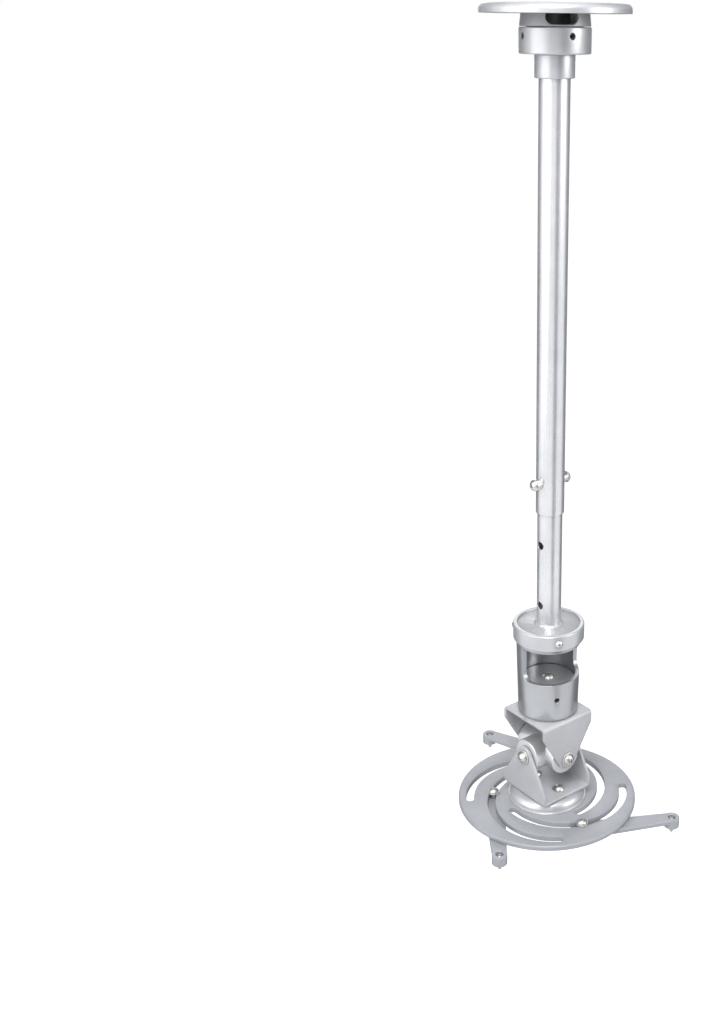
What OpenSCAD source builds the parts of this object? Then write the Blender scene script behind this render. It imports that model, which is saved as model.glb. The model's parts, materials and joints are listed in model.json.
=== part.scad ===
// Telescopic ceiling mount: ceiling plate, swivelling pole, cable pod, tilt head and slotted plate with arms.
// The origin is the middle of the ceiling plate's upper face, and the mount hangs down along -Z.

/* [Ceiling plate] */
// Diameter of the plate on the ceiling
plate_d = 140; // [120:2:180]
// Thickness of the pressed sheet
plate_t = 2.5; // [2:0.5:4]
// Depth of the turned-down rim
rim_h = 9; // [7:0.5:12]
// Diameter of the circle that the ceiling screws stand on
plate_pcd = 110; // [90:2:120]
// Diameter of each ceiling screw hole
plate_hole_d = 6; // [4:0.5:8]

/* [Swivel collar] */
// Outer diameter of the collar
collar_d = 67; // [62:1:76]
// Height of the collar
collar_h = 23; // [20:1:30]
// Outer diameter of the neck sleeve that holds the pole
neck_d = 38; // [36:1:44]
// Length of the neck sleeve below the collar
neck_h = 21; // [15:1:30]

/* [Pole] */
// Outer diameter of the outer tube
outer_d = 30; // [28:1:32]
// Outer diameter of the inner tube
inner_d = 26.6; // [24:0.1:26.8]
// Wall of the inner tube
inner_wall = 1.8; // [1.2:0.1:3]
// Length of the outer tube that shows below the neck sleeve
outer_len = 430; // [300:10:500]
// Length of the inner tube that shows below the outer tube
inner_show = 129; // [115:1:160]
// Length of the inner tube held inside the outer tube
inner_held = 175; // [150:5:200]
// Distance between the index holes of the inner tube
index_pitch = 70; // [60:5:80]
// Diameter of an index hole
index_d = 9; // [6:0.5:10]

/* [Cable pod] */
// Outer diameter of the cap ring
cap_d = 78; // [76:1:84]
// Height of the cap ring
cap_h = 18; // [16:1:22]
// Diameter of the pod body under the cap ring
pod_top_d = 71; // [70:0.5:73]
// Diameter of the pod body at its lower edge
pod_low_d = 67; // [66:0.5:70]
// Height of the pod body under the cap ring
pod_h = 88; // [80:1:100]
// Height of the cable window
window_h = 39; // [30:1:44]

/* [Tilt head] */
// Width of each bracket, along and across
bracket_w = 70; // [66:1:80]
// Sheet thickness of the brackets
bracket_t = 3.5; // [3:0.5:4.5]
// Distance from a bracket's plate to the tilt axes
pivot_drop = 47; // [44:1:56]
// Radius of the rounded end of each ear
ear_r = 12; // [11:0.5:16]
// Diameter of the barrels of the cross block
barrel_d = 38; // [32:1:42]

/* [Slotted plate] */
// Diameter of the slotted plate
disc_d = 204; // [190:2:220]
// Thickness of the slotted plate
disc_t = 6.5; // [5:0.5:8]
// Width of each slot
slot_w = 9; // [8.5:0.5:10]
// Radius of the arc that each slot follows
slot_rho = 70.7; // [66:0.1:72]
// Distance from the middle of the plate to a slot's arc centre
slot_off = 19.2; // [16:0.1:22]
// Diameter of the domed hub under the lower bracket
hub_d = 90; // [84:1:90]

/* [Arms] */
// Distance from an arm's pivot to its foot
arm_len = 105; // [90:1:120]
// Width of an arm at its pivot
arm_w = 26; // [22:1:30]
// Diameter of the boss on the foot
foot_d = 17; // [15:1:20]
// Height of the boss on the foot
foot_h = 12; // [10:1:16]
// Length of foot screw that stands out below the boss
foot_out = 8; // [6:1:12]

/* [Hidden] */
$fn = 64;
eps = 0.01;
// Radial play of a turning fit
run_gap = 0.08;
// Air between two faces that slide on each other
slide_gap = 0.02;

silver = [0.80, 0.81, 0.83];
satin = [0.70, 0.71, 0.74];
powder = [0.63, 0.64, 0.66];
dark = [0.36, 0.37, 0.39];
nickel = [0.82, 0.81, 0.78];

// Ceiling boss: a tapered skirt, a spigot for the collar and a groove for its set screws
boss_low = -19.8;
boss_top_r = 31;
boss_low_r = 33;
spigot_r = 26;
spigot_low = -38.5;
groove_r = 23;
groove_mid = -28;
groove_h = 7;
boss_bore_r = 14;
boss_screw_pcd = 40;
boss_screw_d = 5;
boss_screw_turn = 31;
cable_hole_w = 30;
cable_hole_h = 13;
cable_hole_z = -11.8;
cable_turn = -29;
rim_r = 6;

// Collar and neck
collar_top = boss_low - 0.5;
collar_low = collar_top - collar_h;
collar_web = 3.8;
set_d = 6;
collar_set_turn = -13;
neck_low = collar_low - neck_h;

// Pole
outer_top = collar_low + collar_web;
outer_low = neck_low - outer_len;
outer_bore_r = inner_d / 2 + 0.1;
clamp_up = 34;
clamp_z = outer_low + clamp_up;
clamp_d = 8;
inner_low = outer_low - inner_show;
inner_top = outer_low + inner_held;
index_count = 4;
index_low = inner_low + 23;

// Pod
cap_top = inner_low;
cap_low = cap_top - cap_h;
cap_bore_r = 34;
flange_sink = 1.2;
flange_low = cap_low + 3.5;
cap_screw_z = cap_top - 9;
cap_turn = -24;
pod_low = cap_low - pod_h;
pod_bore_r = 30;
window_top = cap_low - 4.5;
window_low = window_top - window_h;
window_turn = -10;
window_in = 4;
floor_z = window_low - 7;
pod_set_z = floor_z - 12;
pod_groove_r = 26;
pod_groove_h = 7;

// Tilt head
head_top = pod_low - 2.5;
pivot_z = head_top - bracket_t - pivot_drop;
bend_in = 2;
bend_out = bend_in + bracket_t;
ear_straight = 9;
pivot_d = 8;
pivot_washer_d = 18;
pivot_washer_t = 1.6;
pivot_head_d = 14;
pivot_head_h = 5;
barrel_len = bracket_w - 2 * bracket_t - 1.2;
base_low = pivot_z - pivot_drop - bracket_t;
bolt_x = 20;
bolt_d = 8;

// Slotted plate
hub_h = 11.5;
disc_top = base_low - hub_h;
disc_low = disc_top - disc_t;
slot_count = 4;
slot_turn = 72;
slot_from = -165;
slot_to = -17;
slot_drill_more = 0.1;
slot_screw_d = 8;
slot_washer_d = 14;
slot_washer_t = 1.6;
slot_head_d = 11;
slot_head_h = 4;

// Arms: the slot that each arm's screw stands in, its place along the arc and the way the arm points
arm_t = 5;
arm_slot = [1, 3, 0];
arm_place = [-45, -126, -95];
arm_aim = [200, -35, 62];
arm_top = disc_low - slide_gap;
arm_low = arm_top - arm_t;
nut_h = 6.5;
foot_screw_d = 4;
foot_hole_d = 4.4;
foot_waist_d = 3.2;
foot_head_d = 8;
foot_head_h = 3;
foot_bore_d = 9;
foot_sink = 4;

// Middle of the arc of slot k
function arc_centre(k) = let (a = slot_turn + 90 * k) [slot_off * cos(a), slot_off * sin(a)];
// Middle of the slot screw of arm n
function screw_at(n) = let (a = slot_turn + 90 * arm_slot[n] + arm_place[n])
    arc_centre(arm_slot[n]) + slot_rho * [cos(a), sin(a)];

// Three copies round the Z axis
module thirds(turn) {
    for (k = [0 : 2]) {
        rotate([0, 0, turn + 120 * k]) children();
    }
}

// Four copies round the Z axis
module quarters(turn) {
    for (k = [0 : 3]) {
        rotate([0, 0, turn + 90 * k]) children();
    }
}

// A solid of revolution from a list of radius and height
module turned(points) {
    rotate_extrude() polygon(points);
}

// A cross recess cut down into a head whose top is at z = 0
module cross_recess(across, deep) {
    blade = across * 0.22;
    for (turn = [0, 90]) {
        rotate([0, 0, turn]) translate([-across / 2, -blade / 2, -deep]) cube([across, blade, deep + 1]);
    }
}

// A domed head with a cross recess on a plain shank, its seat at z = 0 and its shank along -Z
module pan_screw(head_d, head_h, shank_d, shank_len) {
    dome_r = (head_d * head_d / 4 + head_h * head_h / 4) / head_h * 1.02;
    difference() {
        union() {
            intersection() {
                cylinder(d = head_d, h = head_h);
                translate([0, 0, head_h - dome_r]) sphere(r = dome_r);
            }
            translate([0, 0, -shank_len]) cylinder(d = shank_d, h = shank_len + eps);
        }
        translate([0, 0, head_h]) cross_recess(head_d * 0.55, head_h * 0.6);
    }
}

// A hexagonal nut, its upper face at z = 0
module hex_nut(across_flats, height, bore_d) {
    difference() {
        translate([0, 0, -height]) cylinder(d = across_flats / cos(30), h = height, $fn = 6);
        translate([0, 0, -height - 1]) cylinder(d = bore_d, h = height + 2);
    }
}

// A flat washer that stands on z = 0
module washer(outer, bore, t) {
    difference() {
        cylinder(d = outer, h = t);
        translate([0, 0, -1]) cylinder(d = bore, h = t + 2);
    }
}

// A grub screw along +X with its outer end at x = far and a hexagon socket in that end
module grub(near, far, d) {
    rotate([0, 90, 0]) difference() {
        translate([0, 0, near]) cylinder(d = d, h = far - near);
        translate([0, 0, far - d * 0.5]) cylinder(d = d * 0.55, h = d, $fn = 6);
    }
}

// A radial bore from the axis out along +X
module radial_bore(d) {
    rotate([0, 90, 0]) cylinder(d = d, h = cap_d);
}

// Pressed sheet with a rolled rim: flat web, quarter-round shoulder and a short skirt
module ceiling_plate() {
    edge = plate_d / 2;
    color(silver) difference() {
        rotate_extrude() difference() {
            union() {
                translate([0, -plate_t]) square([edge - rim_r, plate_t]);
                translate([edge - rim_r, -rim_r]) intersection() {
                    circle(r = rim_r);
                    square(rim_r);
                }
                translate([edge - plate_t, -rim_h]) square([plate_t, rim_h - rim_r]);
                translate([edge - rim_r, -rim_r]) square([eps, rim_r]);
            }
            translate([edge - rim_r, -rim_r]) circle(r = rim_r - plate_t);
            translate([edge - rim_r - plate_t, -2 * rim_r]) square([rim_r, 2 * rim_r - plate_t]);
        }
        quarters(45) translate([plate_pcd / 2, 0, -rim_h]) cylinder(d = plate_hole_d, h = 20);
        thirds(boss_screw_turn) translate([boss_screw_pcd / 2, 0, -rim_h]) cylinder(d = boss_screw_d, h = 20);
        thirds(boss_screw_turn) translate([boss_screw_pcd / 2, 0, -plate_t])
            cylinder(d1 = boss_screw_d, d2 = boss_screw_d + 2 * plate_t, h = plate_t);
    }
}

module ceiling_boss() {
    color(dark) difference() {
        turned([
            [boss_bore_r, -plate_t], [boss_top_r, -plate_t], [boss_low_r, boss_low], [spigot_r, boss_low],
            [spigot_r, groove_mid + groove_h / 2], [groove_r, groove_mid + groove_h / 2],
            [groove_r, groove_mid - groove_h / 2], [spigot_r, groove_mid - groove_h / 2],
            [spigot_r, spigot_low + 1], [spigot_r - 1, spigot_low], [boss_bore_r, spigot_low]
        ]);
        rotate([0, 0, cable_turn]) translate([0, 0, cable_hole_z]) cable_mouth();
        thirds(boss_screw_turn) translate([boss_screw_pcd / 2, 0, -plate_t - 13]) cylinder(d = boss_screw_d - 0.8, h = 20);
    }
}

// Oval mouth for the cable, along +X
module cable_mouth() {
    side = (cable_hole_w - cable_hole_h) / 2;
    for (y = [-side, side]) {
        translate([0, y, 0]) rotate([0, 90, 0]) cylinder(d = cable_hole_h, h = collar_d);
    }
    translate([0, -side, -cable_hole_h / 2]) cube([collar_d, 2 * side, cable_hole_h]);
}

// Countersunk screws from above into the boss
module boss_screws() {
    color(nickel) thirds(boss_screw_turn) translate([boss_screw_pcd / 2, 0, -plate_t]) difference() {
        union() {
            cylinder(d1 = boss_screw_d, d2 = boss_screw_d + 2 * plate_t - 0.4, h = plate_t - 0.2);
            translate([0, 0, -12]) cylinder(d = boss_screw_d - 0.8, h = 12 + eps);
        }
        translate([0, 0, plate_t - 0.2]) cross_recess(4.4, 2);
    }
}

module swivel_collar() {
    bore = spigot_r + run_gap;
    color(silver) difference() {
        turned([
            [bore, collar_top], [collar_d / 2 - 1, collar_top], [collar_d / 2, collar_top - 1],
            [collar_d / 2, collar_low + 1.5], [collar_d / 2 - 1.5, collar_low],
            [outer_d / 2, collar_low], [outer_d / 2, collar_low + collar_web],
            [bore, collar_low + collar_web]
        ]);
        quarters(collar_set_turn) translate([0, 0, groove_mid]) radial_bore(set_d);
    }
}

module collar_set_screws() {
    color(dark) quarters(collar_set_turn) translate([0, 0, groove_mid])
        grub(groove_r + 0.3, collar_d / 2 - 1.6, set_d);
}

module neck_sleeve() {
    color(silver) turned([
        [outer_d / 2, collar_low], [neck_d / 2, collar_low], [neck_d / 2, neck_low + 1.2],
        [neck_d / 2 - 1.2, neck_low], [outer_d / 2, neck_low]
    ]);
}

module outer_tube() {
    color(silver) difference() {
        turned([
            [outer_bore_r, outer_top], [outer_d / 2, outer_top], [outer_d / 2, outer_low + 1],
            [outer_d / 2 - 0.6, outer_low], [outer_bore_r, outer_low]
        ]);
        translate([0, 0, clamp_z]) rotate([90, 0, 0]) cylinder(d = clamp_d, h = outer_d * 2, center = true);
    }
}

// Two clamp screws that close on the inner tube from opposite sides
module clamp_screws() {
    boss_len = 3;
    seat = outer_d / 2 + boss_len;
    color(nickel) for (side = [-90, 90]) {
        translate([0, 0, clamp_z]) rotate([0, 0, side]) rotate([0, 90, 0]) difference() {
            union() {
                translate([0, 0, seat]) pan_screw(12.5, 5, clamp_d, seat - inner_d / 2 - 0.2);
                translate([0, 0, outer_d / 2 - 0.6]) cylinder(d = 11, h = boss_len + 0.6);
            }
            rotate([0, -90, 0]) cylinder(d = outer_d, h = 40, center = true);
        }
        translate([0, 0, clamp_z]) rotate([0, 0, side]) rotate([0, 90, 0])
            translate([0, 0, inner_d / 2 + 0.2]) cylinder(d = clamp_d, h = outer_d / 2 - inner_d / 2);
    }
}

module inner_tube() {
    bore = inner_d / 2 - inner_wall;
    color(silver) difference() {
        turned([
            [bore, inner_top], [inner_d / 2 - 0.5, inner_top], [inner_d / 2, inner_top - 0.5],
            [inner_d / 2, flange_low], [bore, flange_low]
        ]);
        for (k = [0 : index_count - 1]) {
            translate([0, 0, index_low + index_pitch * k]) rotate([90, 0, 0])
                cylinder(d = index_d, h = outer_d * 2, center = true);
        }
    }
}

// Flange on the inner tube, with a weld fillet round the tube
module tube_flange() {
    weld = 2.4;
    top = cap_top - flange_sink;
    color(satin) difference() {
        turned([
            [inner_d / 2, top + weld], [inner_d / 2 + weld * 0.35, top + weld * 0.7],
            [inner_d / 2 + weld, top], [cap_bore_r, top], [cap_bore_r, flange_low], [inner_d / 2, flange_low]
        ]);
        thirds(cap_turn) translate([0, 0, cap_screw_z]) radial_bore(4);
    }
}

module pod_cap_ring() {
    color(silver) difference() {
        turned([
            [cap_bore_r, cap_top], [cap_d / 2 - 2, cap_top], [cap_d / 2, cap_top - 2],
            [cap_d / 2, cap_low + 1], [cap_d / 2 - 1, cap_low], [cap_bore_r, cap_low]
        ]);
        thirds(cap_turn) translate([0, 0, cap_screw_z]) radial_bore(4);
    }
}

module cap_screws() {
    color(nickel) thirds(cap_turn) translate([0, 0, cap_screw_z]) rotate([0, 90, 0]) difference() {
        translate([0, 0, cap_d / 2 - 0.25]) pan_screw(8, 3, 4, 16);
        rotate([0, -90, 0]) difference() {
            cylinder(r = cap_d / 2, h = 9, center = true);
            cylinder(r = cap_d / 2 - 1, h = 10, center = true);
            rotate([0, 90, 0]) cylinder(d = 4, h = cap_d, center = true);
        }
    }
}

// Tapered pod body with a window milled in from the side
module pod_body() {
    color(silver) difference() {
        turned([
            [pod_bore_r, flange_low], [cap_bore_r, flange_low], [cap_bore_r, cap_low], [pod_top_d / 2, cap_low],
            [pod_low_d / 2, pod_low + 1], [pod_low_d / 2 - 1, pod_low], [pod_bore_r, pod_low]
        ]);
        rotate([0, 0, window_turn]) window_cut();
        thirds(cap_turn) translate([0, 0, pod_set_z]) radial_bore(set_d);
    }
}

// The window's side view pushed through across the pod, with a large lower and a small upper corner
module window_cut() {
    low_r = 9;
    top_r = 4;
    depth = cap_d;
    translate([0, depth / 2, 0]) rotate([90, 0, 0]) linear_extrude(depth) {
        translate([window_in + low_r, window_low]) square([depth, window_h]);
        translate([window_in, window_low + low_r]) square([depth, window_h - low_r - top_r]);
        translate([window_in + low_r, window_low + low_r]) circle(r = low_r);
        translate([window_in + top_r, window_top - top_r]) circle(r = top_r);
        translate([window_in + top_r, window_top - 2 * top_r]) square([depth, 2 * top_r]);
    }
}

module pod_set_screws() {
    color(dark) thirds(cap_turn) translate([0, 0, pod_set_z])
        grub(pod_groove_r + 0.3, pod_low_d / 2 - 1.2, set_d);
}

// Plug that turns in the pod's lower end and carries the tilt head
module swivel_boss() {
    r = pod_bore_r - run_gap;
    color(satin) difference() {
        turned([
            [0, floor_z], [r - 1.5, floor_z], [r, floor_z - 1.5], [r, pod_set_z + pod_groove_h / 2],
            [pod_groove_r, pod_set_z + pod_groove_h / 2], [pod_groove_r, pod_set_z - pod_groove_h / 2],
            [r, pod_set_z - pod_groove_h / 2], [r, head_top], [0, head_top]
        ]);
        translate([0, 0, head_top - 1]) cylinder(d = bolt_d, h = 60);
    }
}

module boss_centre_screw() {
    color(nickel) translate([0, 0, floor_z])
        pan_screw(14, 4.5, bolt_d, floor_z - head_top + bracket_t + 7.5);
}

module boss_nut() {
    color(nickel) translate([0, 0, head_top - bracket_t]) hex_nut(13, 5.5, bolt_d);
}

// One ear hanging down from z = 0 in the XZ plane, its outline drawn once and pushed out to the thickness
module ear(reach) {
    drop = reach - ear_straight;
    half = bracket_w / 2;
    far = sqrt(half * half + drop * drop);
    // Angle at which the tapered side touches the rounded end
    touch = acos(ear_r / far) - atan2(drop, half);
    tx = ear_r * cos(touch);
    tz = ear_r * sin(touch);
    rotate([90, 0, 0]) difference() {
        union() {
            linear_extrude(bracket_t) polygon([
                [-half, 0], [half, 0], [half, -ear_straight], [tx, -reach - tz], [0, -reach],
                [-tx, -reach - tz], [-half, -ear_straight]
            ]);
            translate([0, -reach, 0]) rotate([0, 0, 180 + touch])
                rotate_extrude(angle = 180 - 2 * touch) square([ear_r, bracket_t]);
        }
        translate([0, -reach, -1]) cylinder(d = pivot_d + 2 * run_gap, h = bracket_t + 2);
    }
}

// A folded bracket: plate on top, ears on the two Y sides, its inner face at z = 0
module folded_bracket() {
    half = bracket_w / 2;
    flat = bracket_w - 2 * bend_out;
    translate([-half, -flat / 2, 0]) cube([bracket_w, flat, bracket_t]);
    for (side = [0, 180]) {
        rotate([0, 0, side]) {
            translate([-half, flat / 2, -bend_in]) rotate([0, 90, 0])
                rotate([0, 0, 90]) rotate_extrude(angle = 90) translate([bend_in, 0]) square([bracket_t, bracket_w]);
            translate([0, half, -bend_in]) ear(pivot_drop - bend_in);
        }
    }
}

// Upper bracket: its plate is bolted under the swivel boss and its ears hang on the X sides
module upper_bracket() {
    color(powder) translate([0, 0, head_top - bracket_t]) difference() {
        rotate([0, 0, 90]) folded_bracket();
        translate([0, 0, -1]) cylinder(d = bolt_d, h = bracket_t + 2);
    }
}

// Lower bracket: the same folding turned over, its ears stand on the Y sides
module lower_bracket() {
    color(powder) translate([0, 0, pivot_z - pivot_drop]) difference() {
        mirror([0, 0, 1]) folded_bracket();
        for (x = [-bolt_x, bolt_x]) {
            translate([x, 0, -bracket_t - 1]) cylinder(d = bolt_d, h = bracket_t + 2);
        }
    }
}

// Two crossed barrels with their axes at one height, threaded at all four ends
module cross_block() {
    color(satin) translate([0, 0, pivot_z]) difference() {
        union() {
            for (turn = [0, 90]) {
                rotate([0, 0, turn]) rotate([0, 90, 0]) cylinder(d = barrel_d, h = barrel_len, center = true);
            }
        }
        for (turn = [0, 90]) {
            rotate([0, 0, turn]) rotate([0, 90, 0]) cylinder(d = pivot_d, h = barrel_len + 2, center = true);
        }
    }
}

// The two pivot screws of one axis, along X
module pivot_screws() {
    seat = bracket_w / 2 + pivot_washer_t;
    for (side = [0, 180]) {
        translate([0, 0, pivot_z]) rotate([0, 0, side]) rotate([0, 90, 0]) translate([0, 0, seat])
            pan_screw(pivot_head_d, pivot_head_h, pivot_d, 22);
    }
}

module pivot_washers() {
    for (side = [0, 180]) {
        translate([0, 0, pivot_z]) rotate([0, 0, side]) rotate([0, 90, 0]) translate([0, 0, bracket_w / 2])
            washer(pivot_washer_d, pivot_d, pivot_washer_t);
    }
}

module pitch_screws() {
    color(nickel) pivot_screws();
}

module pitch_washers() {
    color(nickel) pivot_washers();
}

module roll_screws() {
    color(nickel) rotate([0, 0, 90]) pivot_screws();
}

module roll_washers() {
    color(nickel) rotate([0, 0, 90]) pivot_washers();
}

module bracket_bolts() {
    color(nickel) for (x = [-bolt_x, bolt_x]) {
        translate([x, 0, base_low + bracket_t]) pan_screw(14, 5, bolt_d, bracket_t + hub_h + disc_t + nut_h + 1);
    }
}

module bracket_nuts() {
    color(nickel) for (x = [-bolt_x, bolt_x]) {
        translate([x, 0, disc_low]) hex_nut(13, nut_h, bolt_d);
    }
}

// Turned dome: a quarter-round shoulder that runs out to a thin lip
module hub_dome() {
    lip = 1.6;
    shoulder = hub_h - lip;
    color(silver) difference() {
        translate([0, 0, disc_top]) rotate_extrude() {
            square([hub_d / 2, lip]);
            translate([0, lip - eps]) square([hub_d / 2 - 2 - shoulder, shoulder + eps]);
            translate([hub_d / 2 - 2 - shoulder, lip]) intersection() {
                circle(r = shoulder);
                translate([-eps, -eps]) square(shoulder + 1);
            }
        }
        for (x = [-bolt_x, bolt_x]) {
            translate([x, 0, disc_top - 1]) cylinder(d = bolt_d, h = hub_h + 2);
        }
    }
}

// One milled arc, its centre on +X, with round ends drilled a hair wider than it
module arc_slot() {
    translate([slot_off, 0, disc_low - 1]) {
        rotate([0, 0, slot_from]) rotate_extrude(angle = slot_to - slot_from)
            translate([slot_rho - slot_w / 2, 0]) square([slot_w, disc_t + 2]);
        for (a = [slot_from, slot_to]) {
            rotate([0, 0, a]) translate([slot_rho, 0, 0])
                cylinder(d = slot_w + slot_drill_more, h = disc_t + 2);
        }
    }
}

// Flat round plate with rounded edges and four arc slots, like the leaves of a shutter
module slotted_disc() {
    edge_r = 2;
    color(silver) difference() {
        translate([0, 0, disc_low]) rotate_extrude() {
            square([disc_d / 2 - edge_r, disc_t]);
            translate([0, edge_r]) square([disc_d / 2, disc_t - 2 * edge_r]);
            for (z = [edge_r, disc_t - edge_r]) {
                translate([disc_d / 2 - edge_r, z]) circle(r = edge_r);
            }
        }
        for (k = [0 : slot_count - 1]) {
            rotate([0, 0, slot_turn + 90 * k]) arc_slot();
        }
        for (x = [-bolt_x, bolt_x]) {
            translate([x, 0, disc_low - 1]) cylinder(d = bolt_d, h = disc_t + 2);
        }
    }
}

module slot_screw(n) {
    color(nickel) translate([screw_at(n)[0], screw_at(n)[1], disc_top + slot_washer_t])
        pan_screw(slot_head_d, slot_head_h, slot_screw_d, slot_washer_t + disc_t + arm_t + nut_h + 1);
}

module slot_washer(n) {
    color(nickel) translate([screw_at(n)[0], screw_at(n)[1], disc_top])
        washer(slot_washer_d, slot_screw_d, slot_washer_t);
}

module slot_nut(n) {
    color(nickel) translate([screw_at(n)[0], screw_at(n)[1], arm_low - slide_gap])
        hex_nut(13, nut_h, slot_screw_d);
}

// Tapered flat arm with a round pivot end and a boss at the foot
module arm(n) {
    small = foot_d / 2;
    big = arm_w / 2;
    // Angle of the straight sides that touch both round ends
    lean = asin((big - small) / arm_len);
    place = screw_at(n);
    color(satin) translate([place[0], place[1], 0]) rotate([0, 0, arm_aim[n]]) difference() {
        union() {
            translate([0, 0, arm_low]) cylinder(r = big, h = arm_t);
            translate([0, 0, arm_low]) linear_extrude(arm_t) polygon([
                [big * sin(lean), big * cos(lean)],
                [arm_len + small * sin(lean), small * cos(lean)],
                [arm_len + small * sin(lean), -small * cos(lean)],
                [big * sin(lean), -big * cos(lean)]
            ]);
            translate([arm_len, 0, arm_top - foot_h]) cylinder(r = small, h = foot_h);
        }
        translate([0, 0, arm_low - 1]) cylinder(d = slot_screw_d + 2 * run_gap, h = arm_t + 2);
        translate([arm_len, 0, arm_top - foot_h - 1]) cylinder(d = foot_hole_d, h = foot_h + 2);
        translate([arm_len, 0, arm_top - foot_sink]) cylinder(d = foot_bore_d, h = foot_sink + 1);
    }
}

// Captive screw: a waist runs through the boss and the threaded end stands out below it
module foot_screw(n) {
    place = screw_at(n) + arm_len * [cos(arm_aim[n]), sin(arm_aim[n])];
    color(nickel) translate([place[0], place[1], 0]) {
        translate([0, 0, arm_top - foot_sink])
            pan_screw(foot_head_d, foot_head_h, foot_waist_d, foot_h - foot_sink + eps);
        translate([0, 0, arm_top - foot_h - foot_out]) cylinder(d = foot_screw_d, h = foot_out);
    }
}

ceiling_plate();
ceiling_boss();
boss_screws();
swivel_collar();
collar_set_screws();
neck_sleeve();
outer_tube();
clamp_screws();
inner_tube();
tube_flange();
pod_cap_ring();
cap_screws();
pod_body();
pod_set_screws();
swivel_boss();
boss_centre_screw();
boss_nut();
upper_bracket();
pitch_screws();
pitch_washers();
cross_block();
roll_screws();
roll_washers();
lower_bracket();
bracket_bolts();
bracket_nuts();
hub_dome();
slotted_disc();
slot_screw(0);  // slot_screw_1
slot_screw(1);  // slot_screw_2
slot_screw(2);  // slot_screw_3
slot_washer(0);  // slot_washer_1
slot_washer(1);  // slot_washer_2
slot_washer(2);  // slot_washer_3
slot_nut(0);  // slot_nut_1
slot_nut(1);  // slot_nut_2
slot_nut(2);  // slot_nut_3
arm(0);  // arm_1
arm(1);  // arm_2
arm(2);  // arm_3
foot_screw(0);  // foot_screw_1
foot_screw(1);  // foot_screw_2
foot_screw(2);  // foot_screw_3
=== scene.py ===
import json
import math

import bpy
from mathutils import Matrix, Vector


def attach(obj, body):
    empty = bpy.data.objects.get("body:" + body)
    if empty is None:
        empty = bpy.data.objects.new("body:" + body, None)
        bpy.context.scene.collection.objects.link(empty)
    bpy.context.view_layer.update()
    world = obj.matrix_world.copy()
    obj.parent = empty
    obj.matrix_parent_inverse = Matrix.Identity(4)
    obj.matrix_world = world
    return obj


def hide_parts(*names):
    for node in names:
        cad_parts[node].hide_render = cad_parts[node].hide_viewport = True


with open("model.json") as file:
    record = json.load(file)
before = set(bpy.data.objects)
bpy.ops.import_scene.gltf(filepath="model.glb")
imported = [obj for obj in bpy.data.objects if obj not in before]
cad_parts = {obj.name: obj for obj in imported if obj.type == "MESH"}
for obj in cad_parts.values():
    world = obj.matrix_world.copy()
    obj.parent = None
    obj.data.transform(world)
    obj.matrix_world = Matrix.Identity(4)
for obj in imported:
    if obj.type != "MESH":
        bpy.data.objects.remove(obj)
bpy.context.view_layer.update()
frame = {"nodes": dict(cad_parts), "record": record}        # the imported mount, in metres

bl_info = {
    "name": "Telescopic Projector Mount",
    "version": (1, 0, 0),
    "blender": (4, 5, 0),
    "location": "View3D > Sidebar > Mount",
    "description": "Models and finishes a telescopic ceiling mount around its packed CAD frame",
    "category": "Object",
}

MM = 0.001
BODY_OF = {node: body for body, nodes in frame["record"]["behaviour"]["bodies"].items() for node in nodes}
SLOT_OF = {row["node"]: row["material_slot"] for row in frame["record"]["subparts"]}

# Steps round a turned piece
THREAD_ROUND = 32
SMALL_ROUND = 48
ROUND = 96
FINE_ROUND = 160
DISC_ROUND = 192

# Heights in mm that the CAD source also uses
BOSS_LOW = -19.8
COLLAR_TOP = -20.3
COLLAR_LOW = -43.3
NECK_LOW = -64.3
OUTER_LOW = -494.3
CLAMP_Z = -460.3
INNER_LOW = -623.3
CAP_LOW = -641.3
FLANGE_LOW = -637.8
WINDOW_TOP = -645.8
WINDOW_LOW = -684.8
FLOOR_Z = -691.8
POD_SET_Z = -703.8
POD_LOW = -729.3
HEAD_TOP = -731.8
PIVOT_Z = -782.3
BASE_LOW = -832.8
DISC_TOP = -844.3
DISC_LOW = -850.8
ARM_TOP = -850.82
ARM_LOW = -855.82
NUT_TOP = -855.84

# Sizes in mm and angles in degrees that more than one piece uses
SHEET = 3.5             # of the brackets
BOLT_D = 8
NUT_FLATS = 13
NUT_H = 6.5
NUT_COVER = 7.5         # length of bolt for a nut and the end that stands out of it
WASHER_T = 1.6
LIFT = 0.02             # keeps a washer just off the sheet that turns or slides under it
TUBE_R = 15             # of the outer tube
POD_R = 34              # outside the pod's wall under the cap ring
CAP_TURN = -24          # the first cap screw and the pod's set screw under it
BRACKET_HALF = 35
EAR_REACH = 47          # from a bracket's inner face to its pivot screws
BOLT_X = (-20, 20)      # the two bolts through the lower bracket, the dome and the slotted plate
DOME_H = 11.5
DISC_T = 6.5
ARM_T = 5

# The slotted plate's arcs: radius, distance of their centres from the middle and direction of the first one
ARC_R, ARC_OFF, ARC_TURN = 70.7, 19.2, 72
ARC_START, ARC_END, SLOT_HALF = -165, -17, 4.5
# For each arm: its slot, its screw's place along the arc, and where it points
ARM_SLOT = (1, 3, 0)
ARM_PLACE = (-45, -126, -95)
ARM_AIM = (200, -35, 62)

# Camera, in metres and degrees, fitted to the photo
CAMERA_PLACE = (0.9041, -0.7859, -0.0145)
CAMERA_TURN = (68.14, -0.574, 49.23)
CAMERA_LENS = 43.12
CAMERA_SHIFT = -0.185

# The floor's glow is for rays that see it, the world's tone for light that only falls on the mount
FLOOR_RADIUS = 80       # metres
FLOOR_GLOW = 0.68
WORLD_TONE = (0.40, 0.41, 0.43, 1)
WHITE = (1, 1, 1, 1)
LAMP_AIM = Vector((0, 0, -0.5))
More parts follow.
